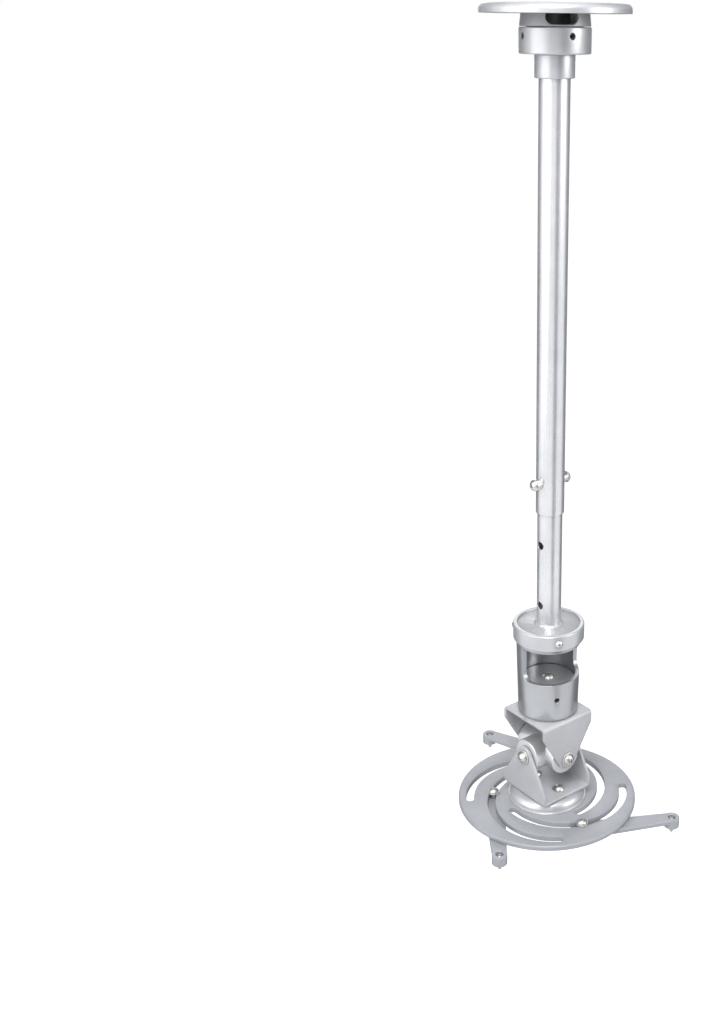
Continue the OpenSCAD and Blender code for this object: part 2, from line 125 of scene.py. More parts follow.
# Name, place in metres, width in metres, power in watts
LAMPS = (
    ("key", (-0.2, -2.3, 0.1), 2.2, 34),
    ("side", (2.0, 1.2, 0.3), 1.0, 24),
    ("top", (0.9, -0.9, 1.4), 1.0, 44),
    ("rim", (-1.9, 1.4, 0.3), 1.2, 5),
)
# Name, direction in degrees, distance and width in metres
CARDS = (
    ("card_near", -10, 2.0, 1.0),
    ("card_far", 92, 0.75, 0.8),
    ("card_left", -172, 0.75, 0.73),
)
CARD_HEIGHT = 3.2       # metres
CARD_MIDDLE = -400      # mm
CARD_TONE = (0.05, 0.05, 0.055, 1)


class MountSizes(bpy.types.PropertyGroup):
    """Sizes of the fine forms that only the dressed model has"""
    edge: bpy.props.FloatProperty(
        name="Edge rounding", description="Radius of the broken edges of the slotted plate",
        default=0.0005, min=0.0001, max=0.001, unit="LENGTH")
    sheet_edge: bpy.props.FloatProperty(
        name="Sheet edge", description="Radius of the rounded edges of the brackets and arms",
        default=0.0007, min=0.0001, max=0.0015, unit="LENGTH")
    bolt_pitch: bpy.props.FloatProperty(
        name="Bolt pitch", description="Thread pitch of the 8 mm screws",
        default=0.00125, min=0.0008, max=0.002, unit="LENGTH")
    foot_pitch: bpy.props.FloatProperty(
        name="Foot pitch", description="Thread pitch of the 4 mm foot screws",
        default=0.0007, min=0.0005, max=0.001, unit="LENGTH")
    floor_z: bpy.props.FloatProperty(
        name="Floor height", description="Height of the studio floor under the hanging mount",
        default=-2.4, min=-3.0, max=-0.9, unit="LENGTH")


class MountColours(bpy.types.PropertyGroup):
    """Colours of the finishes"""
    paint: bpy.props.FloatVectorProperty(
        name="Paint",
        description="Silver-grey paint of the ceiling plate, collar, neck, flange, cap ring and dome",
        subtype="COLOR", size=3, default=(0.52, 0.53, 0.55), min=0, max=1)
    plate: bpy.props.FloatVectorProperty(
        name="Plate paint", description="Flatter grey paint of the slotted plate and the arms",
        subtype="COLOR", size=3, default=(0.35, 0.36, 0.385), min=0, max=1)
    pod: bpy.props.FloatVectorProperty(
        name="Pod metal", description="Darker, more metallic silver of the pod's body",
        subtype="COLOR", size=3, default=(0.41, 0.42, 0.44), min=0, max=1)
    tube: bpy.props.FloatVectorProperty(
        name="Tube", description="Brushed silver of the two pole tubes",
        subtype="COLOR", size=3, default=(0.67, 0.68, 0.70), min=0, max=1)
    # The boss's grey is set darker than the paint as painted shade under the ceiling plate
    boss: bpy.props.FloatVectorProperty(
        name="Boss", description="Dark grey of the ceiling boss",
        subtype="COLOR", size=3, default=(0.34, 0.343, 0.352), min=0, max=1)
    turned: bpy.props.FloatVectorProperty(
        name="Turned metal", description="Bare turned aluminium of the swivel boss and cross block",
        subtype="COLOR", size=3, default=(0.67, 0.675, 0.68), min=0, max=1)
    powder: bpy.props.FloatVectorProperty(
        name="Powder coat", description="Matte grey powder coat of the brackets",
        subtype="COLOR", size=3, default=(0.48, 0.485, 0.505), min=0, max=1)
    plated: bpy.props.FloatVectorProperty(
        name="Plated steel", description="Bright plating of screws, nuts and washers",
        subtype="COLOR", size=3, default=(0.55, 0.548, 0.53), min=0, max=1)
    grub: bpy.props.FloatVectorProperty(
        name="Blackened steel", description="Black oxide of the set screws",
        subtype="COLOR", size=3, default=(0.035, 0.035, 0.038), min=0, max=1)


# Nodes

def wire(tree, name, inputs, **settings):
    """Adds a node, gives it its settings and fills or links its inputs"""
    node = tree.nodes.new(name)
    for key, value in settings.items():
        setattr(node, key, value)
    for key, value in inputs.items():
        if isinstance(value, bpy.types.NodeSocket):
            tree.links.new(value, node.inputs[key])
        else:
            node.inputs[key].default_value = value
    return node


def remap(tree, value, low, high, new_low, new_high):
    return wire(tree, "ShaderNodeMapRange", {
        "Value": value, "From Min": low, "From Max": high,
        "To Min": new_low, "To Max": new_high}).outputs["Result"]


def seen(tree):
    """One for rays that come from the camera, a reflection or through glass, nought for the rest"""
    rays = wire(tree, "ShaderNodeLightPath", {}).outputs
    either = wire(tree, "ShaderNodeMath", {
        0: rays["Is Camera Ray"], 1: rays["Is Glossy Ray"]}, operation="MAXIMUM").outputs[0]
    return wire(tree, "ShaderNodeMath", {
        0: either, 1: rays["Is Transmission Ray"]}, operation="MAXIMUM").outputs[0]


def finish(name, colour, metallic, rough, grain, depth, bare, wear, streak=(1, 1, 1), coat=0.0):
    """A metal finish

    grain is the scale of its fine noise, streak stretches that noise, depth is the bump's in metres,
    bare is the colour at worn edges and wear says how much of it shows."""
    material = bpy.data.materials.new(name)
    material.use_nodes = True
    tree = material.node_tree
    shader = tree.nodes["Principled BSDF"]
    place = wire(tree, "ShaderNodeTexCoord", {}).outputs["Object"]
    fine_place = wire(tree, "ShaderNodeMapping", {"Vector": place, "Scale": streak}).outputs["Vector"]
    fine = wire(tree, "ShaderNodeTexNoise", {
        "Vector": fine_place, "Scale": grain, "Detail": 3.0, "Roughness": 0.6}).outputs["Fac"]
    cloud = wire(tree, "ShaderNodeTexNoise", {
        "Vector": place, "Scale": 38.0, "Detail": 4.0, "Roughness": 0.55}).outputs["Fac"]
    smear = wire(tree, "ShaderNodeTexNoise", {
        "Vector": place, "Scale": 9.0, "Detail": 2.0, "Distortion": 0.6}).outputs["Fac"]
    # Colour: slow clouds and fine grain round the written colour
    tint = remap(tree, cloud, 0.3, 0.7, 0.94, 1.05)
    speck = remap(tree, fine, 0.25, 0.75, 0.965, 1.035)
    level = wire(tree, "ShaderNodeMath", {0: tint, 1: speck}, operation="MULTIPLY").outputs[0]
    body = wire(tree, "ShaderNodeVectorMath", {0: tuple(colour), 3: level}, operation="SCALE").outputs[0]
    # Edges: where the rounded normal leaves the face's own, the finish is rubbed thin
    near = wire(tree, "ShaderNodeBevel", {"Radius": 0.0009}, samples=4).outputs["Normal"]
    true = wire(tree, "ShaderNodeNewGeometry", {}).outputs["Normal"]
    along = wire(tree, "ShaderNodeVectorMath", {0: near, 1: true}, operation="DOT_PRODUCT").outputs["Value"]
    edge = remap(tree, along, 0.985, 0.86, 0.0, 1.0)
    patch = remap(tree, cloud, 0.35, 0.65, wear * 0.35, wear)
    worn = wire(tree, "ShaderNodeMath", {0: edge, 1: patch}, operation="MULTIPLY").outputs[0]
    skin = wire(tree, "ShaderNodeMix", {0: worn, 6: body, 7: (*bare, 1.0)}, data_type="RGBA")
    tree.links.new(skin.outputs[2], shader.inputs["Base Color"])
    # Roughness: grain, then slow smears from handling
    rough_fine = remap(tree, fine, 0.25, 0.75, rough - 0.045, rough + 0.045)
    rough_smear = remap(tree, smear, 0.35, 0.68, -0.035, 0.05)
    total = wire(tree, "ShaderNodeMath", {0: rough_fine, 1: rough_smear}, operation="ADD").outputs[0]
    tree.links.new(total, shader.inputs["Roughness"])
    bump = wire(tree, "ShaderNodeBump", {
        "Strength": 0.35, "Distance": depth, "Height": fine, "Normal": near})
    tree.links.new(bump.outputs["Normal"], shader.inputs["Normal"])
    shader.inputs["Metallic"].default_value = metallic
    shader.inputs["Coat Weight"].default_value = coat
    shader.inputs["Coat Roughness"].default_value = 0.25
    return material


def make_finishes(colours):
    """One material for each slot of the record, and two for pieces that differ from their slot's"""
    return {
        "painted_silver": finish(
            "silver_paint", colours.paint, metallic=0.45, rough=0.34, grain=2600, depth=0.00004,
            bare=(0.68, 0.69, 0.70), wear=0.5, coat=0.12),
        "plate_paint": finish(
            "plate_paint", colours.plate, metallic=0.12, rough=0.45, grain=2400, depth=0.00005,
            bare=(0.62, 0.63, 0.64), wear=0.5, coat=0.06),
        "pod_metal": finish(
            "pod_metal", colours.pod, metallic=0.72, rough=0.33, grain=2600, depth=0.00004,
            bare=(0.60, 0.61, 0.62), wear=0.3, coat=0.06),
        "tube_silver": finish(
            "brushed_tube", colours.tube, metallic=0.68, rough=0.29, grain=1500, depth=0.00001,
            bare=(0.76, 0.77, 0.78), wear=0.4, streak=(1, 1, 0.012)),
        # Ceiling boss: its darker grey is painted shade under the ceiling plate
        "boss_grey": finish(
            "boss_painted_shade", colours.boss, metallic=0.25, rough=0.42, grain=2200, depth=0.00005,
            bare=(0.42, 0.43, 0.44), wear=0.5),
        "turned_aluminium": finish(
            "turned_metal", colours.turned, metallic=0.75, rough=0.33, grain=1700, depth=0.00003,
            bare=(0.72, 0.73, 0.74), wear=0.35, streak=(0.05, 0.05, 1)),
        "powder_grey": finish(
            "powder_coat", colours.powder, metallic=0.15, rough=0.47, grain=1100, depth=0.00016,
            bare=(0.76, 0.77, 0.78), wear=0.7),
        "plated_steel": finish(
            "bright_plating", colours.plated, metallic=0.92, rough=0.34, grain=900, depth=0.00002,
            bare=(0.80, 0.79, 0.76), wear=0.3, streak=(1, 1, 0.2)),
        "black_steel": finish(
            "black_oxide", colours.grub, metallic=0.55, rough=0.40, grain=1800, depth=0.00003,
            bare=(0.30, 0.30, 0.30), wear=0.6),
    }


FINISHES = {}       # filled by the operator that makes them


# Modelling helpers, sizes in mm. A profile's points are radius and height.

def vec(x, y, z):
    return Vector((x * MM, y * MM, z * MM))


def choose(piece):
    bpy.ops.object.select_all(action="DESELECT")
    bpy.context.view_layer.objects.active = piece
    piece.select_set(True)


def edit(piece):
    choose(piece)
    bpy.ops.object.mode_set(mode="EDIT")
    bpy.ops.mesh.select_all(action="SELECT")


def leave():
    bpy.ops.object.mode_set(mode="OBJECT")


def rounded(points, radius, steps=4, closed=True):
    """The same outline with each corner turned into a short arc"""
    out = []
    count = len(points)
    for i, here in enumerate(points):
        p = Vector(here)
        if not closed and i in (0, count - 1):
            out.append(tuple(p))
            continue
        a = Vector(points[i - 1]) - p
        b = Vector(points[(i + 1) % count]) - p
        turn = math.pi - a.angle(b)
        if turn < math.radians(12):
            out.append(tuple(p))
            continue
        back = min(radius * math.tan(turn / 2), a.length * 0.45, b.length * 0.45)
        first = p + a.normalized() * back
        last = p + b.normalized() * back
        for k in range(steps + 1):
            t = k / steps
            out.append(tuple((1 - t) ** 2 * first + 2 * t * (1 - t) * p + t ** 2 * last))
    return out


def lathe(name, points, steps=ROUND, closed=True):
    """Drags one vertex along the profile of radius and height, then spins it about Z"""
    bpy.ops.object.select_all(action="DESELECT")
    bpy.ops.mesh.primitive_plane_add(size=0.01)
    piece = bpy.context.object
    piece.name = name
    bpy.ops.object.mode_set(mode="EDIT")
    bpy.ops.mesh.merge(type="CENTER")
    bpy.ops.transform.translate(value=vec(points[0][0], 0, points[0][1]))
    path = list(points[1:]) + ([points[0]] if closed else [])
    here = points[0]
    for there in path:
        bpy.ops.mesh.extrude_region_move(TRANSFORM_OT_translate={
            "value": vec(there[0] - here[0], 0, there[1] - here[1])})
        here = there
    bpy.ops.mesh.select_all(action="SELECT")
    bpy.ops.mesh.remove_doubles(threshold=1e-7)
    bpy.ops.mesh.spin(steps=steps, angle=2 * math.pi, center=(0, 0, 0), axis=(0, 0, 1))
    bpy.ops.mesh.select_all(action="SELECT")
    bpy.ops.mesh.remove_doubles(threshold=2e-6)
    bpy.ops.mesh.normals_make_consistent(inside=False)
    leave()
    return piece


def prism(name, outline, low, high):
    """A filled ring of points moved to the outline, then extruded along Z"""
    bpy.ops.object.select_all(action="DESELECT")
    bpy.ops.mesh.primitive_circle_add(vertices=len(outline), radius=0.01, fill_type="NGON")
    piece = bpy.context.object
    piece.name = name
    for vertex, (x, y) in zip(piece.data.vertices, outline):
        vertex.co = vec(x, y, low)
    edit(piece)
    bpy.ops.mesh.extrude_region_move(TRANSFORM_OT_translate={"value": vec(0, 0, high - low)})
    bpy.ops.mesh.select_all(action="SELECT")
    bpy.ops.mesh.normals_make_consistent(inside=False)
    leave()
    return piece


def put(piece, matrix):
    """Moves a piece and keeps its place in its mesh"""
    piece.matrix_world = matrix
    choose(piece)
    bpy.ops.object.transform_apply(location=True, rotation=True, scale=True)
    return piece


def newest():
    """The object that an operator has just added, its place kept in its mesh"""
    return put(bpy.context.object, bpy.context.object.matrix_world.copy())


def spot(x, y, z):
    return Matrix.Translation(vec(x, y, z))


def spun(degrees, axis="Z"):
    return Matrix.Rotation(math.radians(degrees), 4, axis)


def outward(degrees, z):
    """Turns +Z to point out from the pole's axis at the given angle"""
    return spot(0, 0, z) @ spun(degrees) @ spun(90, "Y")


def bake(piece, kind, **settings):
    """Adds a modifier and applies it"""
    choose(piece)
    modifier = piece.modifiers.new(kind.lower(), kind)
    for key, value in settings.items():
        setattr(modifier, key, value)
    bpy.ops.object.modifier_apply(modifier=modifier.name)


def combine(piece, other, how="DIFFERENCE"):
    bake(piece, "BOOLEAN", object=other, operation=how, solver="EXACT")
    bpy.data.objects.remove(other, do_unlink=True)
    return piece


def rod(d, low, high, steps=SMALL_ROUND):
    bpy.ops.object.select_all(action="DESELECT")
    bpy.ops.mesh.primitive_cylinder_add(
        vertices=steps, radius=d / 2 * MM, depth=(high - low) * MM, location=vec(0, 0, (low + high) / 2))
    return newest()


def soften(piece, width, segments=2, limit=35):
    bake(piece, "BEVEL", width=width, segments=segments, limit_method="ANGLE",
         angle_limit=math.radians(limit), use_clamp_overlap=False, harden_normals=False)


def twin(piece, name):
    choose(piece)
    bpy.ops.object.duplicate()
    copy = bpy.context.object
    copy.name = name
    return copy


def join(pieces, name):
    bpy.ops.object.select_all(action="DESELECT")
    for piece in pieces:
        piece.select_set(True)
    bpy.context.view_layer.objects.active = pieces[0]
    if len(pieces) > 1:
        bpy.ops.object.join()
    pieces[0].name = name
    return pieces[0]


def settle(piece, node, smooth=32, coat=None):
    """Gives the piece its node's body and the finish of its node's slot or the given coat, and hides the CAD
    node
    """
    piece.name = node + "_fine"
    piece.data.name = piece.name
    choose(piece)
    bpy.ops.object.shade_smooth_by_angle(angle=math.radians(smooth))
    piece.data.materials.clear()
    piece.data.materials.append(FINISHES[coat or SLOT_OF[node]])
    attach(piece, BODY_OF[node])
    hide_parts(node)


def thread(piece, low, high, major, pitch):
    """Cuts a helical thread into the shank between two heights by moving its rings in"""
    depth = 0.54 * pitch
    for vertex in piece.data.vertices:
        r = math.hypot(vertex.co.x, vertex.co.y)
        if low * MM < vertex.co.z < high * MM and abs(r - major / 2 * MM) < 0.00002:
            turn = math.atan2(vertex.co.y, vertex.co.x) / (2 * math.pi)
            phase = (vertex.co.z / pitch - turn) % 1.0
            shrink = 1 - depth * abs(2 * phase - 1) / r
            vertex.co.x *= shrink
            vertex.co.y *= shrink


def shank(r, top, low, pitch, thread_from):
    """Profile points down the shank, close together where a thread is cut"""
    points = [(r, top)]
    if thread_from is not None:
        step = pitch / MM / 6
        z = thread_from
        while z > low + 1.0:
            points.append((r, z))
            z -= step
    return points + [(r, low + 0.7), (r - 0.7, low), (0, low)]


def cross_socket(across, deep, top):
    """Cutter of a cross recess: two blades that narrow towards the bottom"""
    blades = []
    for turn in (0, 90):
        bpy.ops.object.select_all(action="DESELECT")
        bpy.ops.mesh.primitive_cube_add(size=1)
        blade = bpy.context.object
        size = Matrix.Diagonal(vec(across, across * 0.2, deep + 1)).to_4x4()
        put(blade, spot(0, 0, top - deep / 2 + 0.5) @ spun(turn) @ size)
        edit(blade)
        bpy.ops.mesh.select_all(action="DESELECT")
        leave()
        for face in blade.data.polygons:
            face.select = face.normal.z < -0.9
        bpy.ops.object.mode_set(mode="EDIT")
        bpy.ops.transform.resize(value=(0.3, 0.3, 1))
        leave()
        blades.append(blade)
    return combine(blades[0], blades[1], "UNION")


def pan_screw(name, head_d, head_h, shank_d, length, pitch=None, thread_from=None):
    """Domed head with a cross recess, its seat at z = 0 and its shank along -Z"""
    r = head_d / 2
    dome = (r * r + head_h * head_h) / head_h * 0.5 * 1.05
    top = [(0, head_h)]
    for k in range(1, 7):
        x = r * k / 7
        top.append((x, head_h - dome + math.sqrt(dome * dome - x * x)))
    lip = max(head_h - dome + math.sqrt(dome * dome - r * r), 0.8)
    top += [(r * 0.95, lip + (top[-1][1] - lip) * 0.35), (r, lip * 0.75), (r, 0.35), (r - 0.35, 0),
            (shank_d / 2, 0)]
    steps = SMALL_ROUND if thread_from is None else THREAD_ROUND
    piece = lathe(name, top + shank(shank_d / 2, -0.3, -length, pitch, thread_from), steps, closed=False)
    if thread_from is not None:
        thread(piece, -length + 0.2, thread_from + 0.01, shank_d, pitch)
    return combine(piece, cross_socket(head_d * 0.58, head_h * 0.7, head_h))


def hex_nut(name, flats, height, bore):
    """Six-sided nut with chamfered corners, its upper face at z = 0"""
    r = flats / 2
    bpy.ops.object.select_all(action="DESELECT")
    bpy.ops.mesh.primitive_cylinder_add(
        vertices=6, radius=r / math.cos(math.pi / 6) * MM, depth=height * MM,
        location=vec(0, 0, -height / 2))
    nut = newest()
    nut.name = name
    cone = lathe("nut_cone", [
        (0, 0), (r - 0.25, 0), (r + 1.3, -0.9), (r + 1.3, -height + 0.9), (r - 0.25, -height),
        (0, -height)], SMALL_ROUND, closed=False)
    combine(nut, cone, "INTERSECT")
    hole = lathe("nut_bore", [
        (0, 1), (bore / 2 + 1.4, 1), (bore / 2 - 0.25, -0.65), (bore / 2 - 0.25, -height + 0.65),
        (bore / 2 + 1.4, -height - 1), (0, -height - 1)], SMALL_ROUND, closed=False)
    return combine(nut, hole)


def flat_washer(name, outer, bore, t):
    return lathe(name, rounded([
        (bore / 2, 0), (outer / 2, 0), (outer / 2, t), (bore / 2, t)], 0.35, 3), SMALL_ROUND)


def around(r, degrees, cx=0, cy=0):
    turn = math.radians(degrees)
    return cx + r * math.cos(turn), cy + r * math.sin(turn)


def arc(cx, cy, r, start, end, steps):
    return [around(r, start + (end - start) * k / steps, cx, cy) for k in range(steps + 1)]


def discard(*pieces):
    for piece in pieces:
        bpy.data.objects.remove(piece, do_unlink=True)


# Operators, one for each group of pieces

class MOUNT_OT_studio(bpy.types.Operator):
    """Sets the camera, the pale floor and backdrop and the soft lamps"""
    bl_idname = "mount.studio"
    bl_label = "Studio"

    def execute(self, context):
        scene = context.scene
        scene.view_settings.view_transform = "Standard"
        self.add_camera(scene)
        self.add_floor(scene.mount_sizes.floor_z)
        self.add_world(scene)
        for row in CARDS:
            self.add_card(*row)
        for row in LAMPS:
            self.add_lamp(*row)
        return {"FINISHED"}

    def add_camera(self, scene):
        bpy.ops.object.camera_add(
            location=CAMERA_PLACE, rotation=[math.radians(turn) for turn in CAMERA_TURN])
        camera = bpy.context.object
        camera.data.sensor_fit = "VERTICAL"
        camera.data.sensor_height = 36
        camera.data.lens = CAMERA_LENS
        camera.data.shift_x = CAMERA_SHIFT
        camera.data.clip_start = 0.01
        scene.camera = camera

    def add_floor(self, height):
        bpy.ops.object.select_all(action="DESELECT")
        bpy.ops.mesh.primitive_circle_add(
            vertices=128, radius=FLOOR_RADIUS, fill_type="NGON", location=(0, 0, height))
        floor = newest()
        floor.name = "studio_floor"
        material = bpy.data.materials.new("studio_white")
        material.use_nodes = True
        tree = material.node_tree
        shader = tree.nodes["Principled BSDF"]
        shader.inputs["Base Color"].default_value = (0.86, 0.86, 0.86, 1)
        shader.inputs["Roughness"].default_value = 0.9
        glow = wire(tree, "ShaderNodeMath", {0: seen(tree), 1: FLOOR_GLOW}, operation="MULTIPLY").outputs[0]
        shader.inputs["Emission Color"].default_value = WHITE
        tree.links.new(glow, shader.inputs["Emission Strength"])
        floor.data.materials.append(material)

    def add_world(self, scene):
        world = bpy.data.worlds.new("studio")
        scene.world = world
        world.use_nodes = True
        tree = world.node_tree
        back = tree.nodes["Background"]
        tone = wire(tree, "ShaderNodeMix", {0: seen(tree), 6: WORLD_TONE, 7: WHITE}, data_type="RGBA")
        tree.links.new(tone.outputs[2], back.inputs["Color"])
        back.inputs["Strength"].default_value = 1.0

    def add_card(self, name, turn, away, wide):
        """A grey card that only reflections see: it gives the bright metal a dark band"""
        bpy.ops.object.select_all(action="DESELECT")
        bpy.ops.mesh.primitive_grid_add(x_subdivisions=2, y_subdivisions=2, size=1)
        card = bpy.context.object
        card.name = name
        size = Matrix.Diagonal((CARD_HEIGHT, wide, 1, 1))
        put(card, spun(turn) @ spot(away / MM, 0, CARD_MIDDLE) @ spun(90, "Y") @ size)
        grey = bpy.data.materials.new(name)
        grey.use_nodes = True
        grey.node_tree.nodes["Principled BSDF"].inputs["Base Color"].default_value = CARD_TONE
        card.data.materials.append(grey)
        for ray in ("camera", "diffuse", "transmission", "volume_scatter", "shadow"):
            setattr(card, "visible_" + ray, False)

    def add_lamp(self, name, place, size, power):
        bpy.ops.object.light_add(type="AREA", location=place)
        lamp = bpy.context.object
        lamp.name = name
        lamp.data.size = size
        lamp.data.energy = power
        aim = LAMP_AIM - Vector(place)
        lamp.rotation_euler = aim.to_track_quat("-Z", "Y").to_euler()


class MOUNT_OT_cad_finish(bpy.types.Operator):
    """Gives every CAD node the finish of its slot"""
    bl_idname = "mount.cad_finish"
    bl_label = "Finishes"

    def execute(self, context):
        FINISHES.update(make_finishes(context.scene.mount_colours))
        for name, node in frame["nodes"].items():
            for slot in node.material_slots:
                slot.material = FINISHES[SLOT_OF[name]]
        return {"FINISHED"}


class MOUNT_OT_ceiling_end(bpy.types.Operator):
    """Models the pressed ceiling plate, the boss with its cable mouth, the collar and the neck sleeve"""
    bl_idname = "mount.ceiling_end"
    bl_label = "Ceiling end"

    def execute(self, context):
        sheet, plate_r, rim_low, bend = 2.5, 70, -9, 6
        outer = arc(plate_r - bend, -bend, bend, 0, 90, 10)
        inner = arc(plate_r - bend, -bend, bend - sheet, 90, 0, 8)
        plate = lathe("plate", [
            (plate_r, rim_low + 0.4), *outer, (0, 0), (0, -sheet), *inner, (67.5, rim_low + 0.4),
            (67.9, rim_low), (69.6, rim_low)], FINE_ROUND)
        hole_r, hole_d = 55, 6
        for k in range(4):
            combine(plate, put(rod(hole_d, -12, 4), spun(45 + 90 * k) @ spot(hole_r, 0, 0)))
        screw_r, first_screw = 20, 31
        for k in range(3):
            sink = lathe("sink", [
                (0, -4), (2.5, -4), (2.5, -sheet), (5, 0), (5, 2), (0, 2)], SMALL_ROUND, closed=False)
            combine(plate, put(sink, spun(first_screw + 120 * k) @ spot(screw_r, 0, 0)))
        settle(plate, "ceiling_plate")

        # The skirt, then the spigot with the groove that the collar's set screws run in
        bore_r, spigot_r, spigot_low, groove_r, groove_top, groove_low = 14, 26, -38.5, 23, -24.5, -31.5
        boss = lathe("boss", rounded([
            (bore_r, -sheet), (31, -sheet), (33, BOSS_LOW), (spigot_r, BOSS_LOW),
            (spigot_r, groove_top), (groove_r, groove_top), (groove_r, groove_low),
            (spigot_r, groove_low), (spigot_r, spigot_low), (bore_r, spigot_low)], 0.6), FINE_ROUND)
        mouth_r, mouth_x, mouth_z, mouth_aim = 6.5, 8.5, -11.8, -29
        stadium = arc(mouth_x, 0, mouth_r, -90, 90, 16) + arc(-mouth_x, 0, mouth_r, 90, 270, 16)
        combine(boss, put(prism("mouth", stadium, 4, 50),
                          spot(0, 0, mouth_z) @ spun(mouth_aim) @ spun(90, "Z") @ spun(90, "X")))
        settle(boss, "ceiling_boss")

        collar_r, collar_bore, floor_h = 33.5, 26.08, 3.8
        collar = lathe("collar", rounded([
            (collar_bore, COLLAR_TOP), (collar_r, COLLAR_TOP), (collar_r, COLLAR_LOW),
            (TUBE_R, COLLAR_LOW), (TUBE_R, COLLAR_LOW + floor_h),
            (collar_bore, COLLAR_LOW + floor_h)], 1.3, 5), FINE_ROUND)
        set_d, set_z, first_set = 6, -28, -13
        for k in range(4):
            combine(collar, put(rod(set_d, 20, 40), outward(first_set + 90 * k, set_z)))
        settle(collar, "swivel_collar")

        neck_r = 19
        neck = lathe("neck", rounded([
            (TUBE_R, COLLAR_LOW), (neck_r, COLLAR_LOW), (neck_r, NECK_LOW), (TUBE_R, NECK_LOW)], 1.2, 5))
        settle(neck, "neck_sleeve")
        return {"FINISHED"}


class MOUNT_OT_pole(bpy.types.Operator):
    """Models the outer tube, the inner tube with its index holes, the weld flange and the clamp screws"""
    bl_idname = "mount.pole"
    bl_label = "Pole"

    def execute(self, context):
        outer_bore, outer_top = 13.4, -39.5
        outer = lathe("outer", rounded([
            (outer_bore, outer_top), (TUBE_R, outer_top), (TUBE_R, OUTER_LOW),
            (outer_bore, OUTER_LOW)], 0.6, 5))
        combine(outer, put(rod(BOLT_D, -40, 40), spot(0, 0, CLAMP_Z) @ spun(90, "X")))
        settle(outer, "outer_tube")

        inner_r, inner_bore, inner_top = 13.3, 11.5, OUTER_LOW + 175
        inner = lathe("inner", rounded([
            (inner_bore, inner_top), (inner_r, inner_top), (inner_r, FLANGE_LOW),
            (inner_bore, FLANGE_LOW)], 0.4))
        index_d, index_low, index_pitch = 9, INNER_LOW + 23, 70
        for k in range(4):
            here = spot(0, 0, index_low + index_pitch * k) @ spun(90, "X")
            combine(inner, put(rod(index_d, -40, 40), here))
        settle(inner, "inner_tube")

        top = INNER_LOW - 1.2
        flange = lathe("flange", [
            (inner_r, FLANGE_LOW), (inner_r, top + 2.4), (13.6, top + 2.4), (14.1, top + 1.9),
            (14.8, top + 1.2), (15.6, top + 0.5), (16.2, top), (POD_R - 0.4, top), (POD_R, top - 0.4),
            (POD_R, FLANGE_LOW)], FINE_ROUND)
        # Ripples of the weld bead
        for vertex in flange.data.vertices:
            r = math.hypot(vertex.co.x, vertex.co.y) / MM
            if 13.5 < r < 15.9 and vertex.co.z > (top + 0.2) * MM:
                turn = math.atan2(vertex.co.y, vertex.co.x)
                swell = 1 + 0.018 * math.sin(40 * turn) + 0.012 * math.sin(13 * turn + 1)
                vertex.co.x *= swell
                vertex.co.y *= swell
        settle(flange, "tube_flange", 50)

        # A neck that sits on the tube's round under each clamp screw's head
        neck_r, neck_h, head_d, head_h, length = 5.5, 6, 12.5, 5, 7.5
        screws = []
        for side in (-90, 90):
            here = outward(side, CLAMP_Z) @ spot(0, 0, TUBE_R)
            pad = lathe("pad", rounded([
                (0, -1.0), (neck_r, -1.0), (neck_r, neck_h), (0, neck_h)], 0.4, 3, closed=False),
                SMALL_ROUND, closed=False)
            combine(pad, put(rod(2 * TUBE_R, -20, 20, ROUND), spot(0, 0, -TUBE_R) @ spun(90, "Y")))
            screw = put(pan_screw("clamp", head_d, head_h, BOLT_D, length), spot(0, 0, neck_h))
            screws += [put(pad, here), put(screw, here)]
        settle(join(screws, "clamps"), "clamp_screws")
        return {"FINISHED"}


